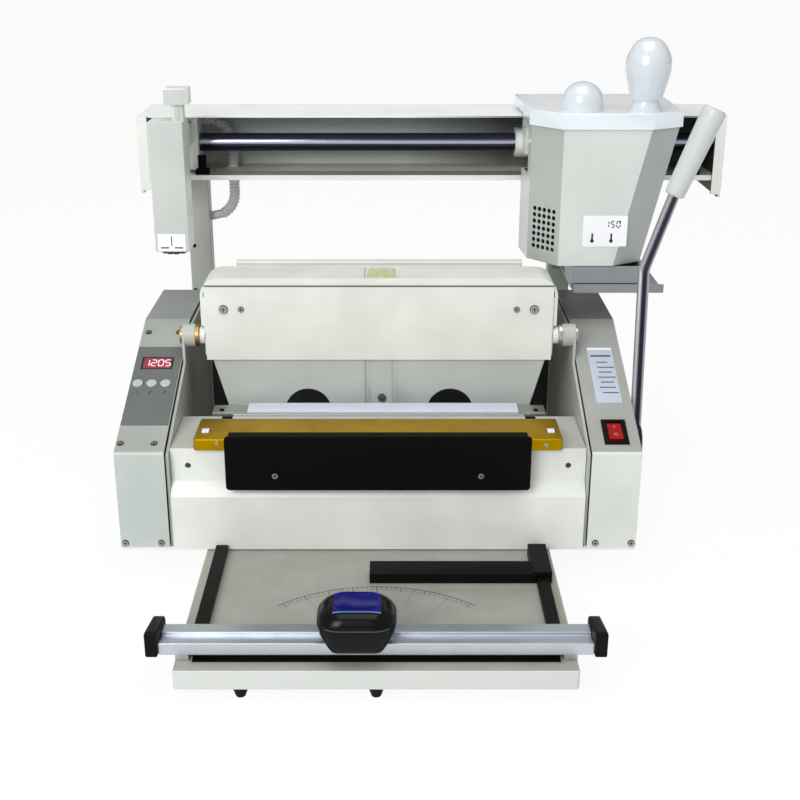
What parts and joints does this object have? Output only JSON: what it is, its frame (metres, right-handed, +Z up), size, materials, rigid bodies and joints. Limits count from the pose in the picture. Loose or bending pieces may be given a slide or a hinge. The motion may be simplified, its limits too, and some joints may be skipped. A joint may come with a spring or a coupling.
{
  "type": "perfect binding machine",
  "caption": "Desktop glue binder with a turn-over book clamp, a milling unit and glue pot sliding on a rod, a lever-worked nip on the deck and a sheet trimmer in front.",
  "frame": {"origin": "bottom centre of the whole machine's bounding box, on the desk", "axes": "+X along the rod to the operator's right, +Y to the back, +Z up"},
  "size_m": [0.7082, 0.64, 0.553],
  "materials": {
    "casing_paint": "satin light grey paint",
    "white_enamel": "satin pale green-grey enamel",
    "black_paint": "matt black powder coat",
    "gold_anodised": "gold anodised",
    "rail_aluminium": "satin anodised",
    "steel": "ground steel",
    "bright_steel": "hard chromed and polished",
    "dark_steel": "blackened steel",
    "lever_paint": "grey painted steel",
    "brass_bush": "turned brass",
    "rubber_black": "matt rubber",
    "white_plastic": "smooth white nylon",
    "grip_plastic": "soft grey-white plastic",
    "lid_enamel": "glossy bluish white",
    "black_plastic": "fine textured black",
    "head_plastic": "glossy near-black with a blue window",
    "panel_film": "matt dark grey film",
    "display_plastic": "dark red filter",
    "button_plastic": "grey plastic",
    "rocker_red": "glossy red",
    "conduit_plastic": "ribbed pale grey plastic",
    "vial_liquid": "clear yellow-green acrylic",
    "board_laminate": "laminated board, pale grey-beige",
    "belt_rubber": "toothless rubber belt"
  },
  "bodies": {
    "body": {"base_plate": "casing_paint", "side_frames": "casing_paint", "front_panel": "casing_paint", "deck_plate": "casing_paint", "rear_panel": "casing_paint", "left_housing": "casing_paint", "right_housing": "casing_paint", "rubber_feet": "rubber_black", "rear_nip_bar": "steel", "nip_strip": "white_plastic", "guide_plate": "black_paint", "shaft_bushes": "brass_bush", "columns": "casing_paint", "beam_channel": "casing_paint", "guide_rod": "bright_steel", "metering_chain": "dark_steel", "chain_anchors": "black_paint", "cable_conduit": "conduit_plastic", "drip_tray": "casing_paint", "control_panel": "panel_film", "display_module": "display_plastic", "switch_bezel": "black_plastic", "power_inlet": "black_plastic", "casing_screws": "steel", "trimmer_board": "board_laminate", "board_strips": "black_plastic", "trimmer_rail": "rail_aluminium", "rail_caps": "black_plastic"},
    "clamp": {"clamp_cover": "casing_paint", "clamp_front": "casing_paint", "level_vial": "vial_liquid", "clamp_screws": "steel", "jaw_frame": "casing_paint"},
    "jaw": {"moving_jaw": "casing_paint"},
    "screw": {"jaw_screw": "steel"},
    "nip": {"front_nip_bar": "gold_anodised", "nip_lugs": "white_plastic"},
    "lever": {"lever_shaft": "steel", "lever_rod": "lever_paint", "lever_grip": "grip_plastic"},
    "pot": {"pot_casing": "white_enamel", "glue_tank": "steel", "pot_carriage": "casing_paint", "roller_belt": "belt_rubber"},
    "lid": {"pot_lid": "lid_enamel", "lid_knobs": "lid_enamel"},
    "roller": {"glue_roller": "steel"},
    "sprocket": {"chain_sprocket": "steel"},
    "mill": {"mill_carriage": "casing_paint"},
    "mill_head": {"mill_housing": "casing_paint", "mill_motor": "dark_steel"},
    "cutter": {"mill_cutter": "steel"},
    "key_left": {"button_left": "button_plastic"},
    "key_middle": {"button_middle": "button_plastic"},
    "key_right": {"button_right": "button_plastic"},
    "rocker": {"switch_rocker": "rocker_red"},
    "trim_head": {"head_base": "black_plastic"},
    "trim_grip": {"head_cap": "head_plastic"},
    "blade": {"trim_blade": "steel"},
    "gauge": {"paper_gauge": "black_plastic"}
  },
  "joints": [
    {"name": "lever_swing", "type": "hinge", "parent": "body", "child": "lever", "pos_m": [0.226, -0.001, 0.126], "axis": [1, 0, 0], "range_deg": [0, 100]},
    {"name": "nip_slide", "type": "slide", "parent": "body", "child": "nip", "axis": [0, 1, 0], "range_m": [0, 0.01236]},
    {"name": "clamp_flip", "type": "hinge", "parent": "body", "child": "clamp", "pos_m": [-0.0625, 0.074, 0.227], "axis": [1, 0, 0], "range_deg": [0, 180]},
    {"name": "jaw_slide", "type": "slide", "parent": "clamp", "child": "jaw", "axis": [0, -1, 0], "range_m": [-0.01, 0.024]},
    {"name": "jaw_screw_spin", "type": "hinge", "parent": "jaw", "child": "screw", "pos_m": [-0.0625, 0.212, 0.258], "axis": [0, -1, 0], "range_deg": [-901, 2161]},
    {"name": "pot_slide", "type": "slide", "parent": "body", "child": "pot", "axis": [1, 0, 0], "range_m": [-0.378, 0]},
    {"name": "sprocket_spin", "type": "hinge", "parent": "pot", "child": "sprocket", "pos_m": [0.1815, 0.23, 0.39608], "axis": [0, 1, 0], "range_deg": [-1786.83, 1]},
    {"name": "roller_spin", "type": "hinge", "parent": "pot", "child": "roller", "pos_m": [0.1815, 0.171, 0.3235], "axis": [0, 1, 0], "range_deg": [-1786.83, 1]},
    {"name": "lid_hinge", "type": "hinge", "parent": "pot", "child": "lid", "pos_m": [0.1815, 0.2905, 0.4635], "axis": [-1, 0, 0], "range_deg": [0, 95]},
    {"name": "mill_slide", "type": "slide", "parent": "body", "child": "mill", "axis": [1, 0, 0], "range_m": [0, 0.378]},
    {"name": "mill_lower", "type": "slide", "parent": "mill", "child": "mill_head", "axis": [0, 0, -1], "range_m": [0, 0.0115], "stiffness_N_per_m": 3000, "springref_m": -0.01},
    {"name": "cutter_spin", "type": "hinge", "parent": "mill_head", "child": "cutter", "pos_m": [-0.30325, 0.142, 0.309], "axis": [0, 0, 1], "continuous": true},
    {"name": "left_key_press", "type": "slide", "parent": "body", "child": "key_left", "axis": [0, 0.3483, -0.9374], "range_m": [0, 0.0015], "stiffness_N_per_m": 400, "springref_m": -0.0005},
    {"name": "middle_key_press", "type": "slide", "parent": "body", "child": "key_middle", "axis": [0, 0.3483, -0.9374], "range_m": [0, 0.0015], "stiffness_N_per_m": 400, "springref_m": -0.0005},
    {"name": "right_key_press", "type": "slide", "parent": "body", "child": "key_right", "axis": [0, 0.3483, -0.9374], "range_m": [0, 0.0015], "stiffness_N_per_m": 400, "springref_m": -0.0005},
    {"name": "rocker_tilt", "type": "hinge", "parent": "body", "child": "rocker", "pos_m": [0.1925, -0.05473, 0.15732], "axis": [1, 0, 0], "range_deg": [0, 11]},
    {"name": "head_slide", "type": "slide", "parent": "body", "child": "trim_head", "axis": [1, 0, 0], "range_m": [-0.142, 0.178]},
    {"name": "grip_press", "type": "slide", "parent": "trim_head", "child": "trim_grip", "axis": [0, 0, -1], "range_m": [0, 0.008], "stiffness_N_per_m": 1500, "springref_m": -0.001},
    {"name": "blade_spin", "type": "hinge", "parent": "trim_grip", "child": "blade", "pos_m": [-0.0805, -0.3074, 0.0553], "axis": [0, 1, 0], "continuous": true},
    {"name": "gauge_slide", "type": "slide", "parent": "body", "child": "gauge", "axis": [0, 1, 0], "range_m": [-0.08, 0.006]}
  ],
  "couplings": [
    {"joint": "nip_slide", "follows": "lever_swing", "m_per_rad": 0.0070226},
    {"joint": "jaw_screw_spin", "follows": "jaw_slide", "rad_per_m": 1570.8},
    {"joint": "sprocket_spin", "follows": "pot_slide", "rad_per_m": 82.457},
    {"joint": "roller_spin", "follows": "pot_slide", "rad_per_m": 82.457}
  ]
}
